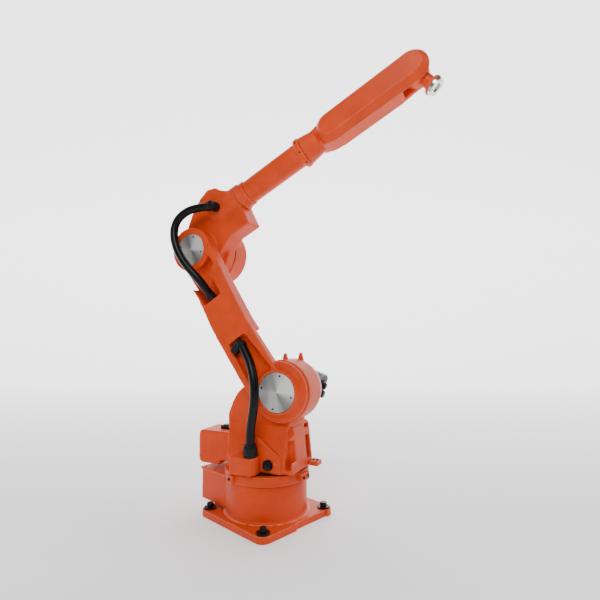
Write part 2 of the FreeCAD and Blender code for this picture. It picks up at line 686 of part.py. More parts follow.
def make_forearm():
    """The forearm's tube, the collar at its end, and the fork that holds the wrist."""
    tube = rod("tube_rod", "tube_radius", "collar_start - nose_front - seat_gap - bearing_length - joint_gap",
               x="nose_front + seat_gap + bearing_length + joint_gap", along="X")
    finish("forearm_tube", forearm_frame, tube)
    collar = rod("collar_rod", "collar_radius", "collar_length", x="collar_start + seat_gap", along="X")
    finish("forearm_collar", forearm_frame, collar)
    half, far, inner = size("fork_half_height"), size("fork_far"), size("fork_gap_half")
    neck = taper("neck_cone", "collar_radius - 3", "fork_half_height - 7", "neck_end - collar_start - collar_length",
                 x="collar_start + collar_length + 2 * seat_gap", along="X")
    start_x, tip = size("fork_start"), size("wrist_distance")
    housing = slab("fork_mass", [(start_x, -half + 20), (start_x + 40, -half + 5), (start_x + 80, -half), (955, -half),
                                 (tip, -half + 8), (tip, half - 6), (955, half), (start_x + 60, half),
                                 (start_x, half - 14)],
                   -inner, far)
    boss = rod("fork_far_boss", "fork_half_height - 6", "fork_far - fork_gap_half", "wrist_distance", "fork_gap_half",
               along="Y")
    gap = slab("fork_gap", [(tip - 30, -200), (tip + 100, -200), (tip + 100, 200), (tip - 30, 200)],
               -inner - 1, inner)
    sweep = rod("fork_sweep", "wrist_distance - fork_end", "2 * fork_gap_half + 1", "wrist_distance",
                "0 - fork_gap_half - 1", along="Y")
    housing_cut = cut("fork_cut", housing, gap, sweep)
    finish("fork_housing", forearm_frame, fuse("fork_cast", neck, housing_cut, boss))


def stadium(name, radius, start, end, near, far, depth, inset):
    """A long round-ended piece in X and Z, whose near side is bevelled by a depth and an inset."""
    def wire(reach, y):
        arc_1 = Part.Arc(Vector(start, y, reach), Vector(start - reach, y, 0), Vector(start, y, -reach))
        arc_2 = Part.Arc(Vector(end, y, -reach), Vector(end + reach, y, 0), Vector(end, y, reach))
        low = Part.LineSegment(Vector(start, y, -reach), Vector(end, y, -reach))
        high = Part.LineSegment(Vector(end, y, reach), Vector(start, y, reach))
        return Part.Wire([arc_1.toShape(), low.toShape(), arc_2.toShape(), high.toShape()])

    step = near + depth
    feature = doc.addObject("Part::Feature", name)
    wall = Part.Face(wire(radius, far)).extrude(Vector(0, step - far, 0))
    bevel = Part.makeLoft([wire(radius, step), wire(radius - inset, near)], True)
    feature.Shape = wall.fuse(bevel).removeSplitter()
    return feature


def make_belt_cover():
    """The long round-ended cover over the wrist's belt, on the near side of the fork."""
    cover = stadium("belt_cover_shell", size("cover_radius"), size("cover_start"), size("wrist_distance"),
                    -size("cover_near"), -size("cover_base") - size("seat_gap"), size("cover_bevel_depth"),
                    size("cover_bevel_inset"))
    finish("belt_cover", forearm_frame, cover)
    cap = rod("bearing_cap_disc", "bearing_cap_radius", "bearing_cap_thick", "wrist_distance",
              "fork_far + seat_gap", along="Y")
    finish("wrist_bearing_cap", forearm_frame, cap)


# ---------------------------------------------------------------- wrist and tool flange


def make_wrist():
    """The wrist: a drum between the fork's arms, a nose towards the tool, and the steel flange."""
    width = "2 * ( fork_gap_half - wrist_clearance )"
    drum = rod("wrist_drum", "wrist_radius", width, y="0 - fork_gap_half + wrist_clearance", along="Y")
    nose = taper("wrist_nose", "nose_radius", "nose_radius - 2", "flange_distance - flange_thick - joint_gap - 20",
                 x="20", along="X")
    head = rod("wrist_head", "wrist_head_radius", "wrist_head_thick",
               "flange_distance - flange_thick - joint_gap - wrist_head_thick", along="X")
    finish("wrist_housing", wrist_frame, fuse("wrist_mass", drum, nose, head))


def make_flange():
    """The bright steel tool flange: a pilot bore and four threaded holes on a circle."""
    body = new_body("flange_body")
    face = sketch_on(body, "flange_face", "XY_Plane")
    add_circle(face, "rim", "flange_radius")
    pad(body, face, "flange_pad", "flange_thick")
    doc.recompute()
    top = sketch_on(body, "pilot_face", "XY_Plane")
    add_circle(top, "pilot", "flange_pilot_radius")
    pocket(body, top, "pilot_pocket", "flange_pilot_depth", back=True)
    doc.recompute()
    threads = sketch_on(body, "thread_face", "XY_Plane")
    reach = size("flange_bolt_circle") / 2
    for number in range(4):
        angle = math.radians(45 + 90 * number)
        add_circle(threads, f"thread{number}", "flange_thread / 2", reach * math.cos(angle), reach * math.sin(angle))
    pocket(body, threads, "thread_pocket", "flange_thread_depth", back=True)
    turn = Placement(Vector(size("flange_distance"), 0, 0), Rotation(Vector(0, 1, 0), -90))
    finish("tool_flange", wrist_frame * turn, body)


# ---------------------------------------------------------------- hoses

# The routes of the two hoses in the column's frame, from the lower end to the upper.
LOWER_ROUTE = [(13, -146, 293), (14, -146, 342), (26, -151, 394), (35, -154, 447), (32, -151, 499),
               (16, -140, 547), (-10, -126, 592), (-41, -115, 629)]
UPPER_ROUTE = [(-204, -98, 829), (-232, -122, 880), (-280, -132, 928), (-322, -134, 980), (-350, -132, 1034),
               (-361, -128, 1081), (-353, -121, 1127), (-322, -109, 1160), (-279, -97, 1176), (-235, -85, 1179)]


def make_hose(node, route):
    """A hose of straight runs joined by tangent arcs."""
    points = [Vector(*p) for p in route]
    runs = [(b - a).Length for a, b in zip(points, points[1:])]
    edges, here, radii = [], points[0], []
    for i in range(1, len(points) - 1):
        back, ahead = (points[i - 1] - points[i]).normalize(), (points[i + 1] - points[i]).normalize()
        half_turn = (math.pi - back.getAngle(ahead)) / 2
        cut_back = 0.45 * min(runs[i - 1], runs[i])
        radius = cut_back / math.tan(half_turn)
        radii.append(radius)
        start, end = points[i] + back * cut_back, points[i] + ahead * cut_back
        middle = (back + ahead).normalize()
        crown = points[i] + middle * (radius / math.cos(half_turn) - radius)
        edges += [Part.LineSegment(here, start).toShape(), Part.Arc(start, crown, end).toShape()]
        here = end
    edges.append(Part.LineSegment(here, points[-1]).toShape())
    path = Part.Wire(edges)
    section = Part.Circle(points[0], points[1] - points[0], size("hose_diameter") / 2).toShape()
    tube = path.makePipeShell([Part.Wire([section])], True, True)
    expected = math.pi * (size("hose_diameter") / 2) ** 2 * path.Length
    print(node, "length", round(path.Length), "volume ratio", round(tube.Volume / expected, 4),
          "smallest radius", round(min(radii)), "radii", [round(r) for r in radii])
    feature = doc.addObject("Part::Feature", node + "_tube")
    feature.Shape = tube
    finish(node, column_frame, feature)


make_base_plate()
make_anchor_bolts()
make_pedestal()
make_bearing_ring()
make_connector_box()
make_stops()
make_turntable()
make_column()
make_slew_motor()
make_junction_box()
make_column_fittings()
make_shoulder_motor()
make_lower_arm()
make_channel_glands()
make_discs()
make_elbow()
make_roll_motor()
make_forearm_root()
make_elbow_gland()
make_forearm()
make_belt_cover()
make_wrist()
make_flange()
make_hose("lower_hose", LOWER_ROUTE)
make_hose("upper_hose", UPPER_ROUTE)

doc.recompute()
for obj in doc.Objects:
    if "Invalid" in obj.State or "Error" in obj.State:
        raise ValueError(f"{obj.Name} failed: {obj.State}")
for part in pieces:
    if part.Shape.isNull() or not part.Shape.isValid() or not part.Shape.Solids:
        raise ValueError(f"{part.Label} has no valid shape")

os.makedirs("parts", exist_ok=True)
for part in pieces:
    part.Shape.exportStep(f"parts/{part.Label}.step")
    box = part.Shape.BoundBox
    print(part.Label, len(part.Shape.Solids), "solids", round(part.Shape.Volume / 1000), "cm3",
          [round(v) for v in (box.XMin, box.YMin, box.ZMin, box.XMax, box.YMax, box.ZMax)])
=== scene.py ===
import math

import bmesh
import bpy
from mathutils import Matrix, Vector


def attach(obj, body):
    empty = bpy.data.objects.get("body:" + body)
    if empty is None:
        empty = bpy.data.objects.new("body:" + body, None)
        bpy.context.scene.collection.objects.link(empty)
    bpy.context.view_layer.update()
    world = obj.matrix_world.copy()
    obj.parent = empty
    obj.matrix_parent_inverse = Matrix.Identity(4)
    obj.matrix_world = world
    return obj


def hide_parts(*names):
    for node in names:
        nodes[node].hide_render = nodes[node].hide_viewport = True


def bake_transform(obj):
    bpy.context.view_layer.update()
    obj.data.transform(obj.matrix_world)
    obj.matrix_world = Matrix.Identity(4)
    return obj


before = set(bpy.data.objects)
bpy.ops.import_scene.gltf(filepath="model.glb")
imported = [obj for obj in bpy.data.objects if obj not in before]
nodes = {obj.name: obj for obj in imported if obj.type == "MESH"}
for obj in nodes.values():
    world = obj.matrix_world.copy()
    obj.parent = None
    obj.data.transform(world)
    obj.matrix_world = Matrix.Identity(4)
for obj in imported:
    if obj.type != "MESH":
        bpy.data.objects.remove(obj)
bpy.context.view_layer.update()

scene = bpy.context.scene

# ---------------------------------------------------------------- camera
# A plain 26 mm view from the front left of the arm, a little above the height of its shoulder.

eye = Vector((1.2772, -1.1400, 0.6906))
looking = Vector((-0.6941, 0.7168, 0.0671))
camera = bpy.data.objects.new("camera", bpy.data.cameras.new("camera"))
camera.data.lens = 26.49
camera.data.sensor_width = 36.0
camera.location = eye
camera.rotation_euler = looking.to_track_quat("-Z", "Y").to_euler()
scene.collection.objects.link(camera)
scene.camera = camera


# ---------------------------------------------------------------- the two cable hoses
# Black rubber-covered hoses that carry the motor cables past the shoulder and the elbow.
# Each is pushed into a gland at both ends.

def turned_by(axis, degrees):
    return Matrix.Rotation(math.radians(degrees), 4, axis)


column_frame = turned_by("Z", 19.0)
HOSE_DIAMETER = 0.032
LOWER_ROUTE = [(0.013, -0.146, 0.293), (0.014, -0.146, 0.342), (0.026, -0.151, 0.394),
               (0.035, -0.154, 0.447), (0.032, -0.151, 0.499), (0.016, -0.140, 0.547),
               (-0.010, -0.126, 0.592), (-0.041, -0.115, 0.629)]
UPPER_ROUTE = [(-0.204, -0.098, 0.829), (-0.232, -0.122, 0.880), (-0.280, -0.132, 0.928),
               (-0.322, -0.134, 0.980), (-0.350, -0.132, 1.034), (-0.361, -0.128, 1.081),
               (-0.353, -0.121, 1.127), (-0.322, -0.109, 1.160), (-0.279, -0.097, 1.176),
               (-0.235, -0.085, 1.179)]


def hose_line(points):
    """The points along the smooth curve of a hose's route."""
    curve = bpy.data.curves.new("route", "CURVE")
    curve.dimensions = "3D"
    curve.resolution_u = 10
    spline = curve.splines.new("NURBS")
    spline.points.add(len(points) - 1)
    for point, place in zip(spline.points, points):
        point.co = (*(column_frame @ Vector(place)), 1.0)
    spline.order_u = 3
    spline.use_endpoint_u = True
    drawn = bpy.data.objects.new("route", curve)
    scene.collection.objects.link(drawn)
    bpy.context.view_layer.update()
    line = bpy.data.meshes.new_from_object(drawn)
    found = [v.co.copy() for v in line.vertices]
    bpy.data.objects.remove(drawn)
    return found


def skin(rings, cap_start=True, cap_end=True, loop=False):
    """The points and faces of a surface drawn over rings of equal count."""
    count = len(rings[0])
    points = [Vector(p) for ring in rings for p in ring]
    faces = []
    for k in range(len(rings) - 1 + loop):
        a, b = k * count, ((k + 1) % len(rings)) * count
        for i in range(count):
            j = (i + 1) % count
            faces.append((a + i, a + j, b + j, b + i))
    if cap_start and not loop:
        faces.append(tuple(reversed(range(count))))
    if cap_end and not loop:
        faces.append(tuple(range((len(rings) - 1) * count, len(rings) * count)))
    return points, faces


def made(name, parts, material, body=None, sharp=35.0):
    """One piece from several skins, shaded smooth except at its sharp edges."""
    points, faces = [], []
    for some_points, some_faces in parts:
        start = len(points)
        points += some_points
        faces += [tuple(start + i for i in face) for face in some_faces]
    mesh = bpy.data.meshes.new(name)
    mesh.from_pydata(points, [], faces)
    mesh.validate()
    mesh.shade_smooth()
    mesh.set_sharp_from_angle(angle=math.radians(sharp))
    mesh.materials.append(material)
    piece = bpy.data.objects.new(name, mesh)
    scene.collection.objects.link(piece)
    if body:
        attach(piece, body)
    return piece


def tube(line, radius, sides=28):
    """A round tube along a line, whose rings don't twist."""
    rings, side = [], None
    for k, place in enumerate(line):
        ahead = (line[min(k + 1, len(line) - 1)] - line[max(k - 1, 0)]).normalized()
        if side is None:
            side = ahead.orthogonal().normalized()
        side = (side - ahead * side.dot(ahead)).normalized()
        other = ahead.cross(side)
        angles = [2 * math.pi * i / sides for i in range(sides)]
        rings.append([place + (side * math.cos(t) + other * math.sin(t)) * radius for t in angles])
    return skin(rings)


def finish_of(name, slot, colour, roughness, metallic=0.0, coat=0.0):
    """A new material with its shader, ready for the nodes that vary it."""
    material = bpy.data.materials.new(name)
    material.use_nodes = True
    material["slot"] = slot
    shader = material.node_tree.nodes["Principled BSDF"]
    shader.inputs["Base Color"].default_value = (*colour, 1.0)
    shader.inputs["Roughness"].default_value = roughness
    shader.inputs["Metallic"].default_value = metallic
    shader.inputs["Coat Weight"].default_value = coat
    shader.inputs["Coat Roughness"].default_value = 0.12
    shader.inputs["Specular IOR Level"].default_value = 0.20
    return material, material.node_tree, shader


def node_group(name, inputs, outputs):
    """An empty shader node group with named inputs and outputs."""
    tree = bpy.data.node_groups.new(name, "ShaderNodeTree")
    for label, kind, value in inputs:
        socket = tree.interface.new_socket(name=label, in_out="INPUT", socket_type=kind)
        socket.default_value = value
    for label, kind in outputs:
        tree.interface.new_socket(name=label, in_out="OUTPUT", socket_type=kind)
    return tree, tree.nodes.new("NodeGroupInput"), tree.nodes.new("NodeGroupOutput")


def noise(tree, scale, detail=4.0, roughness=0.55):
    """Noise in the object's own place, in metres."""
    where = tree.nodes.new("ShaderNodeTexCoord")
    texture = tree.nodes.new("ShaderNodeTexNoise")
    texture.inputs["Scale"].default_value = scale
    texture.inputs["Detail"].default_value = detail
    texture.inputs["Roughness"].default_value = roughness
    tree.links.new(where.outputs["Object"], texture.inputs["Vector"])
    return texture


def spread(tree, value, low, high, out_low, out_high):
    """A value stretched from one range to another."""
    node = tree.nodes.new("ShaderNodeMapRange")
    for label, number in (("From Min", low), ("From Max", high), ("To Min", out_low), ("To Max", out_high)):
        node.inputs[label].default_value = number
    tree.links.new(value, node.inputs["Value"])
    return node.outputs["Result"]


def mixed(tree, share, first, second):
    """Two colours mixed by a share; each is a socket or a plain colour."""
    node = tree.nodes.new("ShaderNodeMix")
    node.data_type = "RGBA"
    tree.links.new(share, node.inputs["Factor"])
    for socket, colour in ((node.inputs[6], first), (node.inputs[7], second)):
        if isinstance(colour, tuple):
            socket.default_value = (*colour, 1.0)
        else:
            tree.links.new(colour, socket)
    return node.outputs[2]


# Fine grain: small bumps, blotches of shade, and dust that lies on upward faces.
grain_tree, grain_in, grain_out = node_group(
    "surface grain",
    [("Color", "NodeSocketColor", (0.5, 0.5, 0.5, 1.0)),
     ("Dust Color", "NodeSocketColor", (0.35, 0.31, 0.27, 1.0)),
     ("Dust", "NodeSocketFloat", 0.15), ("Roughness", "NodeSocketFloat", 0.4),
     ("Bump", "NodeSocketFloat", 0.2)],
    [("Color", "NodeSocketColor"), ("Roughness", "NodeSocketFloat"), ("Normal", "NodeSocketVector")])
blotch = noise(grain_tree, 9.0, 5.0)
fine = noise(grain_tree, 700.0, 2.0)
shade = grain_tree.nodes.new("ShaderNodeHueSaturation")
grain_tree.links.new(grain_in.outputs["Color"], shade.inputs["Color"])
grain_tree.links.new(spread(grain_tree, blotch.outputs["Fac"], 0.3, 0.7, 0.86, 1.12), shade.inputs["Value"])
facing = grain_tree.nodes.new("ShaderNodeNewGeometry")
split = grain_tree.nodes.new("ShaderNodeSeparateXYZ")
grain_tree.links.new(facing.outputs["Normal"], split.inputs["Vector"])
upward = spread(grain_tree, split.outputs["Z"], 0.35, 1.0, 0.0, 1.0)
settled = grain_tree.nodes.new("ShaderNodeMath")
settled.operation = "MULTIPLY"
grain_tree.links.new(upward, settled.inputs[0])
grain_tree.links.new(grain_in.outputs["Dust"], settled.inputs[1])
patchy = grain_tree.nodes.new("ShaderNodeMath")
patchy.operation = "MULTIPLY"
grain_tree.links.new(settled.outputs[0], patchy.inputs[0])
grain_tree.links.new(blotch.outputs["Fac"], patchy.inputs[1])
grain_tree.links.new(mixed(grain_tree, patchy.outputs[0], shade.outputs["Color"],
                           grain_in.outputs["Dust Color"]),
                     grain_out.inputs["Color"])
rougher = grain_tree.nodes.new("ShaderNodeMath")
rougher.operation = "ADD"
grain_tree.links.new(grain_in.outputs["Roughness"], rougher.inputs[0])
grain_tree.links.new(spread(grain_tree, blotch.outputs["Fac"], 0.3, 0.7, -0.05, 0.09), rougher.inputs[1])
grain_tree.links.new(rougher.outputs[0], grain_out.inputs["Roughness"])
bumps = grain_tree.nodes.new("ShaderNodeBump")
bumps.inputs["Distance"].default_value = 0.0004
grain_tree.links.new(grain_in.outputs["Bump"], bumps.inputs["Strength"])
grain_tree.links.new(fine.outputs["Fac"], bumps.inputs["Height"])
grain_tree.links.new(bumps.outputs["Normal"], grain_out.inputs["Normal"])


def grained(name, slot, colour, roughness, metallic=0.0, coat=0.0, dust=0.15, bump=0.2, source=None):
    """A material whose colour, roughness and normal come through the surface grain."""
    material, tree, shader = finish_of(name, slot, colour, roughness, metallic, coat)
    grain = tree.nodes.new("ShaderNodeGroup")
    grain.node_tree = grain_tree
    grain.inputs["Color"].default_value = (*colour, 1.0)
    grain.inputs["Dust"].default_value = dust
    grain.inputs["Roughness"].default_value = roughness
    grain.inputs["Bump"].default_value = bump
    if source:
        tree.links.new(source(tree), grain.inputs["Color"])
    for label, socket in (("Color", "Base Color"), ("Roughness", "Roughness"), ("Normal", "Normal")):
        tree.links.new(grain.outputs[label], shader.inputs[socket])
    return material


hose_rubber = grained("hose rubber", "hose", (0.003, 0.003, 0.0033), 0.30, coat=0.0, dust=0.01, bump=0.35)
for hose, route, low_body, high_body in (("lower_hose", LOWER_ROUTE, "column", "lower_arm"),
                                         ("upper_hose", UPPER_ROUTE, "lower_arm", "elbow")):
    line = hose_line(route)
    piece = made(hose + "_sheath", [tube(line, HOSE_DIAMETER / 2)], hose_rubber)
    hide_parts(hose)
    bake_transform(piece)


# ---------------------------------------------------------------- base plate
# A thick square foot of cast iron, painted with the rest, bolted to the floor at its corners.
# The paint is a tough orange two-part enamel over cast metal. A lighter orange is painted along its edges as
# a painted highlight, which also stands for the paint being thinner there.

ORANGE = (0.66, 0.052, 0.004)
ORANGE_EDGE_HIGHLIGHT = (0.88, 0.26, 0.10)

# The edge mask: nearness to an edge, broken up by noise; it places the painted highlight along edges.
edge_tree, edge_in, edge_out = node_group(
    "highlighted and rubbed edges", [("Reach", "NodeSocketFloat", 0.004), ("Breakup", "NodeSocketFloat", 0.5)],
    [("Mask", "NodeSocketFloat")])
soft = edge_tree.nodes.new("ShaderNodeBevel")
soft.samples = 4
edge_tree.links.new(edge_in.outputs["Reach"], soft.inputs["Radius"])
true_normal = edge_tree.nodes.new("ShaderNodeNewGeometry")
agree = edge_tree.nodes.new("ShaderNodeVectorMath")
agree.operation = "DOT_PRODUCT"
edge_tree.links.new(soft.outputs["Normal"], agree.inputs[0])
edge_tree.links.new(true_normal.outputs["Normal"], agree.inputs[1])
on_edge = spread(edge_tree, agree.outputs["Value"], 0.99, 0.88, 0.0, 1.0)
broken = spread(edge_tree, noise(edge_tree, 60.0, 5.0).outputs["Fac"], 0.35, 0.6, 0.2, 1.0)
kept = edge_tree.nodes.new("ShaderNodeMath")
kept.operation = "MULTIPLY"
edge_tree.links.new(on_edge, kept.inputs[0])
edge_tree.links.new(broken, kept.inputs[1])
scaled = edge_tree.nodes.new("ShaderNodeMath")
scaled.operation = "MULTIPLY"
edge_tree.links.new(kept.outputs[0], scaled.inputs[0])
edge_tree.links.new(edge_in.outputs["Breakup"], scaled.inputs[1])
edge_tree.links.new(scaled.outputs[0], edge_out.inputs["Mask"])


def edge_colour(colour, highlight_and_wear_colour, reach, amount):
    """A source of colour that turns lighter along edges: a painted highlight, which also stands for thinner
    paint there.
    """
    def source(tree):
        edge_highlight_and_wear = tree.nodes.new("ShaderNodeGroup")
        edge_highlight_and_wear.node_tree = edge_tree
        edge_highlight_and_wear.inputs["Reach"].default_value = reach
        edge_highlight_and_wear.inputs["Breakup"].default_value = amount
        patches = spread(tree, noise(tree, 3.0, 3.0).outputs["Fac"], 0.4, 0.75, 0.0, 0.45)
        base = mixed(tree, patches, colour, tuple(c * 0.86 for c in colour))
        return mixed(tree, edge_highlight_and_wear.outputs["Mask"], base, highlight_and_wear_colour)
    return source


# The orange paint turns lighter along its edges: painted highlight.
orange_paint = grained("orange enamel on castings", "orange_paint", ORANGE, 0.46, coat=0.04, dust=0.02,
                       bump=0.22,
                       source=edge_colour(ORANGE, ORANGE_EDGE_HIGHLIGHT, 0.005, 0.95))


def linked(name, mesh, material, body):
    """A mesh as a piece that rides on a body."""
    mesh.materials.clear()
    mesh.materials.append(material)
    for polygon in mesh.polygons:
        polygon.material_index = 0
    piece = bpy.data.objects.new(name, mesh)
    scene.collection.objects.link(piece)
    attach(piece, body)
    return piece


def applied(piece):
    """The mesh of an object once its modifiers are applied."""
    bpy.context.view_layer.update()
    graph = bpy.context.evaluated_depsgraph_get()
    mesh = bpy.data.meshes.new_from_object(piece.evaluated_get(graph), preserve_all_data_layers=True,
                                           depsgraph=graph)
    bpy.data.objects.remove(piece)
    return mesh


def rounded(node, body, material, width=0.002, segments=3, name=None):
    """A machined or pressed piece of a node with a small round on its sharp edges."""
    mesh = nodes[node].data.copy()
    work = bmesh.new()
    work.from_mesh(mesh)
    bmesh.ops.remove_doubles(work, verts=work.verts, dist=2e-5)
    bmesh.ops.dissolve_limit(work, angle_limit=math.radians(0.6), verts=work.verts, edges=work.edges)
    work.to_mesh(mesh)
    work.free()
    mesh.shade_smooth()
    raw = bpy.data.objects.new("raw", mesh)
    scene.collection.objects.link(raw)
    bevel = raw.modifiers.new("round", "BEVEL")
    bevel.width = width
    bevel.segments = segments
    bevel.limit_method = "ANGLE"
    bevel.angle_limit = math.radians(38)
    raw.modifiers.new("flat faces", "WEIGHTED_NORMAL").keep_sharp = True
    piece = linked(name or node + "_finished", applied(raw), material, body)
    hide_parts(node)
    return piece


rounded("base_plate", "base", orange_paint, 0.003)


# ---------------------------------------------------------------- anchor bolts
# Four black hexagon bolts of grade 8.8 steel, each on a thick washer, hold the plate to the floor.
# The heads are chamfered and carry a fine coat of oil and dust.

black_steel = grained("blackened steel", "black_steel", (0.010, 0.010, 0.010), 0.36, metallic=0.5,
                      dust=0.06, bump=0.3)
PLATE_TOP = 0.024


def round_rings(profile, sides=40, wobble=None):
    """Rings about Z from radii and heights; wobble changes the radius with the angle."""
    rings = []
    for radius, height in profile:
        ring = []
        for i in range(sides):
            angle = 2 * math.pi * i / sides
            reach = radius * (wobble(angle) if wobble else 1.0)
            ring.append(Vector((reach * math.cos(angle), reach * math.sin(angle), height)))
        rings.append(ring)
    return rings


def placed(part, place):
    """A skin moved by a matrix."""
    points, faces = part
    return [place @ p for p in points], faces


def hexagon(angle):
    """The radius of a hexagon at an angle, for a corner radius of one."""
    return math.cos(math.pi / 6) / math.cos((angle % (math.pi / 3)) - math.pi / 6)


def hexagon_head(radius, height):
    """A bolt head: six flats, a rounded chamfer on top and a washer face below."""
    base = skin(round_rings([(radius * 0.93, 0), (radius * 0.93, height * 0.08), (radius, height * 0.1),
                             (radius, height * 0.84)], 48, hexagon), cap_end=False)
    top = []
    for share, z in ((1.0, 0.84), (0.955, 0.93), (0.9, 1.0)):
        top.append([Vector((radius * min(hexagon(t), share) * math.cos(t),
                            radius * min(hexagon(t), share) * math.sin(t),
                            height * z)) for t in (2 * math.pi * i / 48 for i in range(48))])
    return [base, skin(top, cap_start=False)]


anchors = []
for x in (-0.15, 0.15):
    for y in (-0.15, 0.15):
        place = Matrix.Translation((x, y, PLATE_TOP))
        washer = skin(round_rings([(0.0105, 0.0), (0.0232, 0.0), (0.024, 0.0008), (0.024, 0.0042),
                                   (0.0230, 0.005),
                                   (0.0105, 0.005)], 48))
        anchors.append(placed(washer, place))
        for part in hexagon_head(0.013, 0.015):
            anchors.append(placed(part,
                                  place @ Matrix.Translation((0, 0, 0.005)) @ turned_by("Z", 40 * x / y)))
bolts = made("anchor_bolt_heads", anchors, black_steel, "base", 30)
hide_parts("anchor_bolts")


# ---------------------------------------------------------------- pedestal and bearing ring
# The round iron casting that carries the swivel bearing, with a flare where it meets the plate,
# and the machined ring of the bearing clamped on its rim.

def lathe(name, node, body, material, profile, frame_of=Matrix.Identity(4), sides=96, wobble=None):
    """A turned piece about its frame's Z axis that stands for a node."""
    piece = made(name, [placed(skin(round_rings(profile, sides, wobble)), frame_of)], material, body)
    if node:
        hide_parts(node)
    return piece


flare = [(0.1615 - 0.0115 * math.sin(t), 0.0245 + 0.0115 * (1 - math.cos(t)))
         for t in (math.pi / 2 * k / 8 for k in range(9))]
lathe("pedestal_casting", "pedestal", "base", orange_paint,
      [(0.02, 0.0242), (0.1615, 0.0242)] + flare + [(0.150, 0.146), (0.1485, 0.1495), (0.02, 0.1495)])
lathe("bearing_ring_machined", "bearing_ring", "base", orange_paint,
      [(0.02, 0.1502), (0.1555, 0.1502), (0.1575, 0.1515), (0.158, 0.1535), (0.158, 0.1805), (0.1572, 0.1828),
       (0.155, 0.184), (0.02, 0.184)])


# ---------------------------------------------------------------- screws
# Socket-head cap screws hold the covers, stops and discs; some are painted over with the casting.
# Each has a round head with a chamfer and a hexagon socket.

def cap_screw(radius, height):
    """A socket-head screw on the plane Z = 0."""
    outer = round_rings([(radius, -0.0015), (radius, height * 0.86), (radius * 0.9, height)], 24)
    hollow = round_rings([(radius * 0.56, height), (radius * 0.54, height * 0.35)], 24, hexagon)
    return skin(outer + hollow)


def screws(name, body, places, radius, height, material=None):
    return made(name, [placed(cap_screw(radius, height), place) for place in places],
                material or black_steel, body, 30)


def facing_y(x, y, z, sign=-1):
    """A place on a wall that faces along Y, with Z of the piece outwards."""
    return Matrix.Translation((x, y, z)) @ turned_by("X", 90 if sign < 0 else -90)


# ---------------------------------------------------------------- connector box
# A welded sheet-steel box behind the pedestal with a lid on four screws, where the cables come in.
# Two round sockets sit in its rear wall.

rounded("connector_box", "base", orange_paint, 0.004)
rounded("connector_box_lid", "base", orange_paint, 0.002)
lid_top = 0.157
screws("lid_screws", "base",
       [Matrix.Translation((x, y, lid_top)) for x in (-0.222, -0.165) for y in (-0.122, 0.122)],
       0.0045, 0.003, orange_paint)
black_plastic = grained("black moulded plastic", "black_plastic", (0.006, 0.006, 0.0065), 0.38, dust=0.06,
                        bump=0.35)
for node, y in (("power_socket", 0.066), ("signal_socket", -0.066)):
    axis = Matrix.Translation((-0.2320, y, 0.093)) @ turned_by("Y", -90)
    shell = skin(round_rings([(0.010, 0.0005), (0.0245, 0.0005), (0.0245, 0.004), (0.0225, 0.005),
                              (0.0225, 0.008),
                              (0.0238, 0.009), (0.0238, 0.0185), (0.0228, 0.020), (0.0185, 0.020),
                              (0.018, 0.006),
                              (0.010, 0.006)], 48, lambda t: 1.0 + 0.008 * (math.cos(16 * t) > 0)))
    pins = [placed(skin(round_rings([(0.0016, 0.004), (0.0016, 0.014), (0.001, 0.0155)], 12)),
                   Matrix.Translation((0.010 * math.cos(t), 0.010 * math.sin(t), 0)))
            for t in (2 * math.pi * k / 6 for k in range(6))]
    socket = made(node + "_shell", [placed(part, axis) for part in [shell] + pins], black_plastic, "base", 30)
    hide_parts(node)


# ---------------------------------------------------------------- swivel stops
# Small cast blocks on the ring's side that the column's tab meets at the ends of the swivel.
# The wide one has a slot with the clamping screw of the calibration mark.

rounded("swivel_stop_left", "base", orange_paint, 0.002)
rounded("swivel_stop_right", "base", orange_paint, 0.002)


def at_ring(angle, radius, z):
    """A place on the ring's side at an angle, with Z of the piece outwards."""
    return turned_by("Z", angle) @ Matrix.Translation((radius, 0, z)) @ turned_by("Y", 90)


screws("stop_screws", "base",
       [at_ring(12 + d, 0.1722, 0.167) for d in (-5, 5)] + [at_ring(-92, 0.172, 0.167)],
       0.005, 0.004)

# ---------------------------------------------------------------- column casting
# One iron casting that turns on the base: a ribbed foot and the round head of the shoulder joint.
# It is sand cast, so every edge and inner corner is well rounded.

# Painted shade: the turntable is blackened so that the band between the column and the base shows dark.
rounded("turntable", "column", black_steel, 0.0008, 2)


def cast(node, body, frame_of, material=None, voxel=0.0032, smooth=7):
    """A sand casting of a node: its edges melt round, and its flat faces stay flat."""
    mesh = nodes[node].data.copy()
    mesh.transform(frame_of.inverted())
    work = bmesh.new()
    work.from_mesh(mesh)
    bmesh.ops.remove_doubles(work, verts=work.verts, dist=2e-5)
    work.to_mesh(mesh)
    work.free()
    raw = bpy.data.objects.new("raw", mesh)
    scene.collection.objects.link(raw)
    remesh = raw.modifiers.new("remesh", "REMESH")
    remesh.mode = "VOXEL"
    remesh.voxel_size = voxel
    soften = raw.modifiers.new("soften", "SMOOTH")
    soften.factor = 0.5
    soften.iterations = smooth
    done = applied(raw)
    done.transform(frame_of)
    done.shade_smooth()
    piece = linked(node + "_cast", done, material or orange_paint, body)
    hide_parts(node)
    return piece


cast("column_casting", "column", column_frame)
screws("column_near_bolts", "column",
       [column_frame @ facing_y(x, -0.1183, z) for x, z in ((0.062, 0.236), (0.098, 0.228))],
       0.0045, 0.003, orange_paint)


# ---------------------------------------------------------------- swivel motor cover
# A deep-drawn steel cover over the swivel motor, screwed to the back of the column.
# The motor's black plug stands on top, by the column.

rounded("slew_motor_cover", "column", orange_paint, 0.010, 5)
cover_seam = [column_frame @ facing_y(x, -0.0612, z)
              for x, z in ((-0.262, 0.286), (-0.262, 0.196), (-0.130, 0.286), (-0.130, 0.204))]
screws("slew_cover_screws", "column", cover_seam, 0.0042, 0.0026, orange_paint)


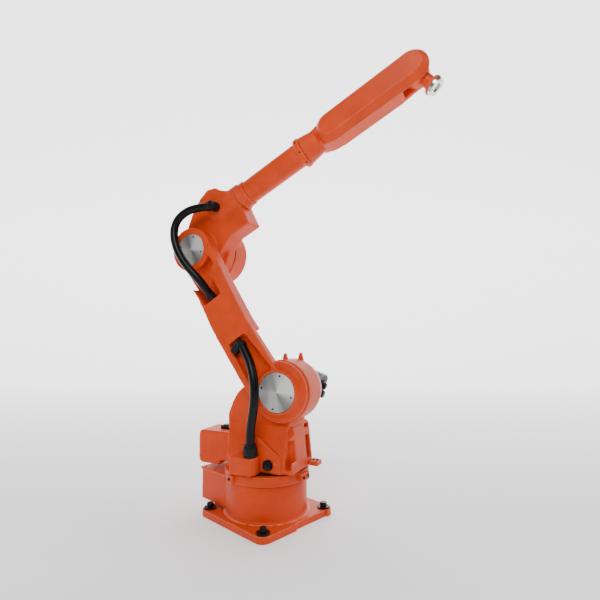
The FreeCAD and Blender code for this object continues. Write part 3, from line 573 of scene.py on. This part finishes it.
def plug_skin(length, width, height, corner=0.006, steps=5):
    """A block with round corners in plan and a soft top edge, on the plane Z = 0."""
    def plan(shrink, z):
        ring = []
        for cx, cy, start in ((1, 1, 0), (-1, 1, 90), (-1, -1, 180), (1, -1, 270)):
            for k in range(steps):
                t = math.radians(start + 90 * k / (steps - 1))
                reach = max(corner - shrink, 0.0005)
                ring.append(Vector((cx * (length / 2 - corner) + reach * math.cos(t),
                                    cy * (width / 2 - corner) + reach * math.sin(t), z)))
        return ring
    return skin([plan(0.0004, 0), plan(0, 0.0006), plan(0, height - 0.002), plan(0.0008, height - 0.0007),
                 plan(0.002, height)])


plug_place = column_frame @ Matrix.Translation((-0.180, 0, 0.3002))
plug = made("slew_motor_plug",
            [placed(plug_skin(0.044, 0.034, 0.011), plug_place),
             placed(plug_skin(0.036, 0.026, 0.006, 0.010), plug_place @ Matrix.Translation((0, 0, 0.0098)))]
            + [placed(skin(round_rings([(0.0028, 0.0), (0.0028, 0.0135), (0.002, 0.0145)], 16)),
                      plug_place @ Matrix.Translation((x, y, 0))) for x in (-0.019, 0.019)
                      for y in (-0.014, 0.014)],
            black_plastic, "column")
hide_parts("slew_motor_connector")


# ---------------------------------------------------------------- junction box and its gland
# The cast cable box low on the near side. A black nut-shaped gland on its top takes the lower hose,
# and a black screw plug closes the spare hole in the wall beside it.

rounded("junction_box", "column", orange_paint, 0.0035, 3)
gland_place = column_frame @ Matrix.Translation((0.013, -0.146, 0.2483))


def knurl(angle):
    """The radius of a ribbed nut at an angle."""
    return 1.0 - 0.030 * (0.5 + 0.5 * math.cos(24 * angle))


gland_parts = [skin(round_rings([(0.0235, 0.0002), (0.0248, 0.0010), (0.0248, 0.0075), (0.0235, 0.0085)],
                                72, hexagon)),
               skin(round_rings([(0.0200, 0.0080), (0.0244, 0.0090), (0.0250, 0.0110), (0.0250, 0.0330),
                                 (0.0240, 0.0370), (0.0215, 0.0420), (0.0172, 0.0436), (0.0168, 0.0395)],
                                 144, knurl))]
gland = made("lower_hose_gland_nut", [placed(part, gland_place) for part in gland_parts], black_plastic,
             "column", 40)
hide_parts("lower_hose_gland")
bright_steel = grained("bright machined steel", "bright_steel", (0.62, 0.61, 0.59), 0.22, metallic=1.0,
                       dust=0.03,
                       bump=0.12)
wall_place = column_frame @ facing_y(0.070, -0.1185, 0.220)
plug_parts = [skin(round_rings([(0.0190, 0.0002), (0.0190, 0.0024), (0.0182, 0.0032)], 48)),
              plug_skin(0.030, 0.026, 0.0150, 0.005),
              placed(skin(round_rings([(0.0085, 0.0), (0.0085, 0.0036), (0.0070, 0.0046)], 48, hexagon)),
                     Matrix.Translation((0, 0, 0.0146)))]
wall = made("wall_plug_cap", [placed(part, wall_place) for part in plug_parts], black_plastic, "column")
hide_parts("wall_plug")


# ---------------------------------------------------------------- lifting lugs and stop tab
# Cast lugs on the crown of the shoulder take the lifting slings.
# The tab at the foot of the column meets the stops of the swivel.

rounded("lifting_lugs", "column", orange_paint, 0.002)
rounded("swivel_stop_tab", "column", orange_paint, 0.003)
screws("stop_tab_screws", "column",
       [column_frame @ Matrix.Translation((x, 0.052, 0.208)) for x in (0.170, 0.184)], 0.0048, 0.004)


# ---------------------------------------------------------------- shoulder motor
# The black servo motor of the shoulder, bolted through its square flange to the far side of the head.
# Its body is a finned extrusion with a brake and encoder cap behind, and a connector block at its front.

motor_frame = column_frame @ Matrix.Translation((0.100, 0, 0.471)) @ turned_by("Y", 20.0)
black_paint = grained("black motor paint", "black_paint", (0.0055, 0.0055, 0.006), 0.36, dust=0.05, bump=0.25)


def finned(side, start, end, fins=7, depth=0.003, corner=0.012):
    """A square motor body along Y with shallow grooves down its sides."""
    outline = []
    half = side / 2
    for quarter in range(4):
        turn = Matrix.Rotation(math.pi / 2 * quarter, 2)
        edge = [(half, -half + corner)]
        pitch = (side - 2 * corner) / fins
        for k in range(fins):
            z = -half + corner + k * pitch
            edge += [(half, z + pitch * 0.15), (half - depth, z + pitch * 0.3),
                     (half - depth, z + pitch * 0.7),
                     (half, z + pitch * 0.85)]
        for k in range(1, 5):
            t = math.radians(90 * k / 5)
            edge.append((half - corner + corner * math.cos(t), half - corner + corner * math.sin(t)))
        outline += [turn @ Vector(p) for p in edge]
    return skin([[Vector((p.x, y, p.y)) for p in outline] for y in (start, end)])


def square_rings(side, y_values, corner=0.010, steps=5):
    """A square section along Y, drawn in by the second number of each pair."""
    rings = []
    for y, shrink in y_values:
        half, ring = side / 2 - shrink, []
        for sx, sz, start in ((1, 1, 0), (-1, 1, 90), (-1, -1, 180), (1, -1, 270)):
            for k in range(steps):
                t = math.radians(start + 90 * k / (steps - 1))
                ring.append(Vector((sx * (half - corner) + corner * math.cos(t), y,
                                    sz * (half - corner) + corner * math.sin(t))))
        rings.append(ring)
    return skin(rings)


flange_piece = made("shoulder_motor_mount",
                    [placed(square_rings(0.134, [(0.0626, 0.001), (0.0636, 0.0), (0.0730, 0.0),
                                                                        (0.0742, 0.0012)]), motor_frame)],
                    black_paint, "column")
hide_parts("shoulder_motor_flange")
motor_parts = [square_rings(0.104, [(0.0748, 0.0), (0.0850, 0.0), (0.0855, 0.002)]),
               finned(0.104, 0.0850, 0.1840),
               square_rings(0.104, [(0.1835, 0.002), (0.1840, 0.0), (0.1940, 0.0),
                                                                   (0.1946, 0.001)]),
               square_rings(0.092, [(0.1946, 0.003), (0.1960, 0.0), (0.2390, 0.0), (0.2425, 0.004)], 0.014)]
motor_piece = made("shoulder_motor_body", [placed(part, motor_frame) for part in motor_parts], black_paint,
                   "column")
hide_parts("shoulder_motor")
screws("shoulder_motor_screws", "column",
       [motor_frame @ facing_y(x, 0.0742, z, 1) for x in (-0.058, 0.058) for z in (-0.058, 0.058)], 0.0055,
       0.0055)
connector_place = motor_frame @ Matrix.Translation((0.0523, 0.1675, 0.0)) @ turned_by("Y", 90)
connector = made("shoulder_motor_plug",
                 [placed(plug_skin(0.068, 0.034, 0.012), connector_place),
                  placed(skin(round_rings([(0.0150, 0.010), (0.0150, 0.0200), (0.0135, 0.0218)], 48, knurl)),
                         connector_place @ Matrix.Translation((0.016, 0, 0))),
                  placed(skin(round_rings([(0.0125, 0.010), (0.0125, 0.0190), (0.0110, 0.0205)], 48, knurl)),
                         connector_place @ Matrix.Translation((-0.018, 0, 0)))], black_plastic, "column", 40)
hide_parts("shoulder_motor_connector")


# ---------------------------------------------------------------- lower arm
# A long box-section casting on the near side, with a round hub at each end for the joint reducers.
# Channels cast in its face let the hoses into the hollow of the arm.

arm_frame = column_frame @ Matrix.Translation((0.100, 0, 0.471)) @ turned_by("Y", -36.6)
cast("lower_arm_casting", "lower_arm", arm_frame, smooth=6)


for node, route, end, before in (("lower_channel_gland", LOWER_ROUTE, -1, -2),
                                 ("upper_channel_gland", UPPER_ROUTE, 0, 1)):
    tip, inner = column_frame @ Vector(route[end]), column_frame @ Vector(route[before])
    place = Matrix.Translation(tip) @ (tip - inner).to_track_quat("Z", "Y").to_matrix().to_4x4()
    ring = skin(round_rings([(0.0170, 0.0005), (0.0186, 0.0015), (0.0190, 0.0040), (0.0190, 0.0120),
                             (0.0175, 0.0150)],
                            96, knurl))
    gland = made(node + "_nut", [placed(ring, place)], black_plastic, "lower_arm", 40)
    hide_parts(node)


def gland_angle(name, route_end, route_before, radius, turn, wall):
    """A black angle piece behind a gland that turns the hose into the casting, towards a wall."""
    to_arm = arm_frame.inverted() @ column_frame
    tip, inner = to_arm @ Vector(route_end), to_arm @ Vector(route_before)
    head = (tip - inner).normalized()
    corner = tip + head * 0.018
    line = [tip + head * 0.006, tip + head * 0.012, corner, corner + Vector(turn), wall(corner)]
    made(name, [tube([arm_frame @ spot for spot in line], radius)], black_plastic, "lower_arm", 40)


gland_angle("lower_gland_angle", LOWER_ROUTE[-1], LOWER_ROUTE[-2], 0.0175, (-0.010, 0.0, -0.002),
            lambda corner: Vector((-0.062, corner.y, corner.z - 0.012)))
gland_angle("upper_gland_angle", UPPER_ROUTE[0], UPPER_ROUTE[1], 0.0170, (0.002, 0.008, -0.006),
            lambda corner: Vector((corner.x + 0.004, -0.0645, corner.z - 0.008)))


# ---------------------------------------------------------------- reducer discs
# Bare steel discs, turned on a lathe, that close the shoulder and elbow reducers.
# Fine rings from the tool are drawn in the colour, fixed light and dark wedges of painted reflection lie over
# them, and small black screws sit near the rim.

lathe_tree, lathe_in, lathe_out = node_group(
    "turned rings", [("Color", "NodeSocketColor", (0.6, 0.6, 0.6, 1.0)), ("Pitch", "NodeSocketFloat", 900.0)],
    [("Color", "NodeSocketColor"), ("Height", "NodeSocketFloat")])
ring_place = lathe_tree.nodes.new("ShaderNodeUVMap")
rings_texture = lathe_tree.nodes.new("ShaderNodeTexWave")
rings_texture.wave_type = "RINGS"
rings_texture.rings_direction = "SPHERICAL"
rings_texture.inputs["Distortion"].default_value = 0.6
rings_texture.inputs["Detail"].default_value = 3.0
lathe_tree.links.new(ring_place.outputs["UV"], rings_texture.inputs["Vector"])
lathe_tree.links.new(lathe_in.outputs["Pitch"], rings_texture.inputs["Scale"])
ring_dark = lathe_tree.nodes.new("ShaderNodeHueSaturation")
lathe_tree.links.new(lathe_in.outputs["Color"], ring_dark.inputs["Color"])
lathe_tree.links.new(spread(lathe_tree, rings_texture.outputs["Fac"], 0.0, 1.0, 0.9, 1.06),
                     ring_dark.inputs["Value"])
lathe_tree.links.new(ring_dark.outputs["Color"], lathe_out.inputs["Color"])
lathe_tree.links.new(rings_texture.outputs["Fac"], lathe_out.inputs["Height"])


def painted_reflection_wedges(tree):
    """Painted reflection: fixed wedges of light and dark about the centre, drawn in the colour as turned
    steel would show a pale room and a dark gap.
    """
    where = tree.nodes.new("ShaderNodeUVMap")
    split = tree.nodes.new("ShaderNodeSeparateXYZ")
    tree.links.new(where.outputs["UV"], split.inputs["Vector"])
    angle = tree.nodes.new("ShaderNodeMath")
    angle.operation = "ARCTAN2"
    tree.links.new(split.outputs["Y"], angle.inputs[0])
    tree.links.new(split.outputs["X"], angle.inputs[1])
    ramp = tree.nodes.new("ShaderNodeValToRGB")
    tree.links.new(spread(tree, angle.outputs[0], -math.pi, math.pi, 0.0, 1.0), ramp.inputs["Fac"])
    reflection_tones = [(0.0, 0.52), (0.16, 0.48), (0.24, 0.20), (0.31, 0.30), (0.40, 0.80), (0.54, 0.86), (0.62, 0.60),
             (0.70, 0.26), (0.78, 0.36), (0.90, 0.56), (1.0, 0.52)]
    while len(ramp.color_ramp.elements) < len(reflection_tones):
        ramp.color_ramp.elements.new(0.5)
    for element, (position, tone) in zip(ramp.color_ramp.elements, reflection_tones):
        element.position = position
        element.color = (tone, tone * 0.985, tone * 0.97, 1.0)
    rings = tree.nodes.new("ShaderNodeGroup")
    rings.node_tree = lathe_tree
    rings.inputs["Pitch"].default_value = 420.0
    tree.links.new(ramp.outputs["Color"], rings.inputs["Color"])
    return rings.outputs["Color"]


# Painted reflection: the turned steel's colour carries fixed light and dark wedges about each disc's centre.
bare_steel = grained("turned steel with painted reflection", "bare_steel", (0.55, 0.54, 0.53), 0.34, metallic=0.55, dust=0.0,
                     bump=0.10,
                     source=painted_reflection_wedges)


def disc(node, frame_of, near, height, radius):
    """A turned disc that faces the near side, with flat coordinates for its rings."""
    place = frame_of @ Matrix.Translation((0, near, height)) @ turned_by("X", 90)
    profile = [(0.004, -0.0074), (radius - 0.0006, -0.0074), (radius - 0.0006, -0.0012),
               (radius - 0.0018, 0.0),
               (radius - 0.0060, 0.0), (radius - 0.0064, -0.0005), (radius - 0.0070, -0.0005),
               (radius - 0.0074, 0.0),
               (0.004, 0.0)]
    piece = made(node + "_turned", [placed(skin(round_rings(profile, 96)), place)], bare_steel, "lower_arm",
                 30)
    flat = piece.data.uv_layers.new(name="flat")
    back = place.inverted()
    for loop in piece.data.loops:
        spot = back @ piece.data.vertices[loop.vertex_index].co
        flat.data[loop.index].uv = (spot.x, spot.y)
    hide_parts(node)
    places = [place @ turned_by("Z", 90 * k + 40) @ Matrix.Translation((radius - 0.0115, 0, 0))
              for k in range(4)]
    screws(node + "_screws", "lower_arm", places, 0.0034, 0.0016)
    return piece


disc("shoulder_disc", arm_frame, -0.117, 0.0, 0.071)
disc("elbow_disc", arm_frame, -0.095, 0.672, 0.063)


# ---------------------------------------------------------------- elbow
# The elbow casting carries the forearm: a round body on the elbow axis, humped over the roll drive,
# with a square nose in front. The round housing of the elbow reducer stands on its far side.

elbow_frame = arm_frame @ Matrix.Translation((0, 0, 0.672)) @ turned_by("Y", 36.6 - 27.2)
cast("elbow_casting", "elbow", elbow_frame, smooth=7)
rounded("elbow_drum", "elbow", orange_paint, 0.003)
forearm_frame = elbow_frame @ Matrix.Translation((0, 0, 0.108))

# the bearing housing in front of the elbow: a stepped turned casting on a ring of screws
along_forearm = forearm_frame @ turned_by("Y", 90)
lathe("roll_bearing_cast", "roll_bearing_housing", "elbow", orange_paint,
                [(0.020, 0.2554), (0.0560, 0.2554), (0.0568, 0.2566), (0.0568, 0.2650), (0.0556, 0.2662),
                 (0.0540, 0.2672), (0.0520, 0.2720), (0.0510, 0.2830), (0.0515, 0.2900), (0.0515, 0.2940),
                 (0.0500, 0.2952), (0.020, 0.2952)], along_forearm)
screws("roll_bearing_screws", "elbow",
       [along_forearm @ turned_by("Z", 30 * k + 15) @ Matrix.Translation((0.0495, 0, 0.2730))
        for k in range(12)],
       0.0032, 0.0050, orange_paint)


# ---------------------------------------------------------------- elbow and roll motors
# Two smaller black servo motors on the far side turn the elbow and the forearm.
# Like the shoulder's, each is a square mount, a finned extrusion, and an encoder cap with a round plug.

for node, side, start, end, x, z in (("elbow_motor", 0.090, 0.1383, 0.2083, 0.0, 0.0),
                                     ("roll_motor", 0.076, 0.0503, 0.1283, 0.136, 0.178)):
    place = elbow_frame @ Matrix.Translation((x, 0, z))
    cap_from = end - 0.024
    bodies = [square_rings(side, [(start, 0.0), (start + 0.0080, 0.0), (start + 0.0086, 0.0010)]),
              finned(side - 0.003, start + 0.0086, cap_from, 6, 0.0026, 0.010),
              square_rings(side - 0.010, [(cap_from, 0.001), (cap_from + 0.002, 0.0), (end - 0.004, 0.0),
                                          (end - 0.0004, 0.0035)], 0.012),
              placed(skin(round_rings([(0.0105, -0.006), (0.0105, 0.0030), (0.0095, 0.0044),
                                       (0.0040, 0.0046)], 48,
                                      knurl)),
                     Matrix.Translation((0, cap_from + 0.011, side / 2 - 0.0046)))]
    piece = made(node + "_body", [placed(part, place) for part in bodies], black_paint, "elbow")
    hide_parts(node)


# ---------------------------------------------------------------- elbow gland
# A black right-angle gland screwed into the near side of the elbow, where the upper hose ends.

gland_tip = column_frame @ Vector(UPPER_ROUTE[-1])
gland_inner = column_frame @ Vector(UPPER_ROUTE[-2])
gland_head = (gland_tip - gland_inner).normalized()
collar_place = Matrix.Translation(gland_tip) @ gland_head.to_track_quat("Z", "Y").to_matrix().to_4x4()
corner = elbow_frame.inverted() @ (gland_tip + gland_head * 0.028)
barrel_place = elbow_frame @ Matrix.Translation((corner.x, 0, corner.z)) @ turned_by("X", 90)
gland_skins = [placed(skin(round_rings([(0.0172, 0.0008), (0.0190, 0.0018), (0.0190, 0.0110),
                                        (0.0178, 0.0122),
                                        (0.0178, 0.0260)], 96, knurl)), collar_place),
               placed(skin(round_rings([(0.0195, 0.0570), (0.0200, 0.0585), (0.0200, 0.0640),
                                        (0.0186, 0.0650),
                                        (0.0186, 0.0930), (0.0170, 0.0985), (0.0120, 0.1015),
                                        (0.004, 0.1020)], 64)),
                      barrel_place)]
elbow_gland = made("upper_hose_gland_body", gland_skins, black_plastic, "elbow", 40)
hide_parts("upper_hose_gland")


# ---------------------------------------------------------------- forearm
# A round cast tube rolls in the elbow's bearing. A collar joins it to the fork housing,
# which holds the wrist between its arms and is closed on the near side by a long cover.

lathe("forearm_tube_cast", "forearm_tube", "forearm", orange_paint,
      [(0.020, 0.2960), (0.0455, 0.2960), (0.0465, 0.2972), (0.0468, 0.3100), (0.0468, 0.5340),
       (0.0466, 0.5472),
       (0.0455, 0.5476), (0.020, 0.5476)], along_forearm)
lathe("forearm_collar_cast", "forearm_collar", "forearm", orange_paint,
      [(0.020, 0.5484), (0.0480, 0.5484), (0.0530, 0.5500), (0.0572, 0.5540), (0.0580, 0.5580),
       (0.0580, 0.5680),
       (0.0570, 0.5715), (0.0540, 0.5735), (0.020, 0.5740)], along_forearm)
screws("collar_screws", "forearm",
       [along_forearm @ turned_by("Z", 45 * k + 22) @ Matrix.Translation((0.0578, 0, 0.563))
        @ turned_by("Y", 90)
        for k in range(8)], 0.0034, 0.0014)
cast("fork_housing", "forearm", forearm_frame, smooth=6)
rounded("belt_cover", "forearm", orange_paint, 0.0014, 2)
rounded("wrist_bearing_cap", "forearm", orange_paint, 0.0015)

# small screws on the cap at the far side
cap_places = [forearm_frame @ Matrix.Translation((1.035, 0, 0)) @ turned_by("Y", 60 * k)
              @ facing_y(0.022, 0.0593, 0, 1)
              for k in range(6)]
screws("wrist_cap_screws", "forearm", cap_places, 0.0030, 0.0022)


# ---------------------------------------------------------------- wrist
# A cast drum between the arms of the fork with a nose towards the tool.
# The bright steel tool flange turns on its end, with four threaded holes and a pilot bore.

wrist_frame = forearm_frame @ Matrix.Translation((1.035, 0, 0)) @ turned_by("Y", 73.0)
cast("wrist_housing", "wrist", wrist_frame, voxel=0.0016, smooth=6)
along_tool = wrist_frame @ turned_by("Y", 90)
lathe("tool_seal_ring", None, "wrist", black_steel, [(0.012, 0.0938), (0.0238, 0.0938), (0.0244, 0.0944),
                                                     (0.0244, 0.0948), (0.0238, 0.0953), (0.012, 0.0953)],
                                                     along_tool)
rounded("tool_flange", "tool", bright_steel, 0.0005, 2)


# ---------------------------------------------------------------- floor and light
# A pale studio floor that sweeps up into a wall, under soft lights from above and both sides. The floor also
# glows with painted light of its own: faint by the arm, stronger towards the wall and on the wall itself.

sweep = [(-9.0, 0.0), (3.6, 0.0), (4.4, 0.1), (5.1, 0.4), (5.6, 0.9), (5.9, 1.6), (6.0, 2.5), (6.0, 9.5)]
away = turned_by("Z", 44.0)
floor_mesh = bpy.data.meshes.new("floor")
floor_mesh.from_pydata([tuple(away @ Vector((side, run, rise - 0.0002))) for run, rise in sweep
                        for side in (-10, 10)], [],
                       [(2 * k, 2 * k + 1, 2 * k + 3, 2 * k + 2) for k in range(len(sweep) - 1)])
for polygon in floor_mesh.polygons:
    polygon.use_smooth = True
floor = bpy.data.objects.new("floor", floor_mesh)
scene.collection.objects.link(floor)
glowing_floor_finish, floor_tree, floor_shader = finish_of("pale glowing floor", "orange_paint", (0.95, 0.95, 0.95), 0.8)
# Painted light: the floor glows, faint by the arm and stronger towards and up the wall.
floor_shader.inputs["Emission Color"].default_value = (1.0, 1.0, 1.0, 1.0)
floor_place = floor_tree.nodes.new("ShaderNodeNewGeometry")
floor_split = floor_tree.nodes.new("ShaderNodeVectorMath")
floor_split.operation = "DOT_PRODUCT"
floor_split.inputs[1].default_value = tuple(away @ Vector((0, 1, 0)))
floor_tree.links.new(floor_place.outputs["Position"], floor_split.inputs[0])
floor_tree.links.new(spread(floor_tree, floor_split.outputs["Value"], 0.0, 5.6, 0.30, 2.6),
                     floor_shader.inputs["Emission Strength"])
floor_mesh.materials.append(glowing_floor_finish)


def area_light(name, place, target, width, power, colour=(1.0, 1.0, 1.0)):
    """A soft square light that looks at a point."""
    light = bpy.data.lights.new(name, "AREA")
    light.shape = "SQUARE"
    light.size = width
    light.energy = power
    light.color = colour
    lamp = bpy.data.objects.new(name, light)
    lamp.location = place
    lamp.rotation_euler = (Vector(target) - Vector(place)).to_track_quat("-Z", "Y").to_euler()
    scene.collection.objects.link(lamp)
    return lamp


area_light("key", (1.8, -2.6, 3.4), (0.0, 0.0, 0.8), 1.8, 105.0)
area_light("fill", (-2.6, -1.8, 1.8), (0.0, 0.0, 0.8), 2.4, 16.0)
area_light("rim", (2.2, 2.4, 2.6), (0.1, 0.0, 0.9), 2.0, 40.0)
world = bpy.data.worlds.new("studio")
world.use_nodes = True
world.node_tree.nodes["Background"].inputs["Color"].default_value = (1.0, 1.0, 1.0, 1.0)
world.node_tree.nodes["Background"].inputs["Strength"].default_value = 0.22
scene.world = world
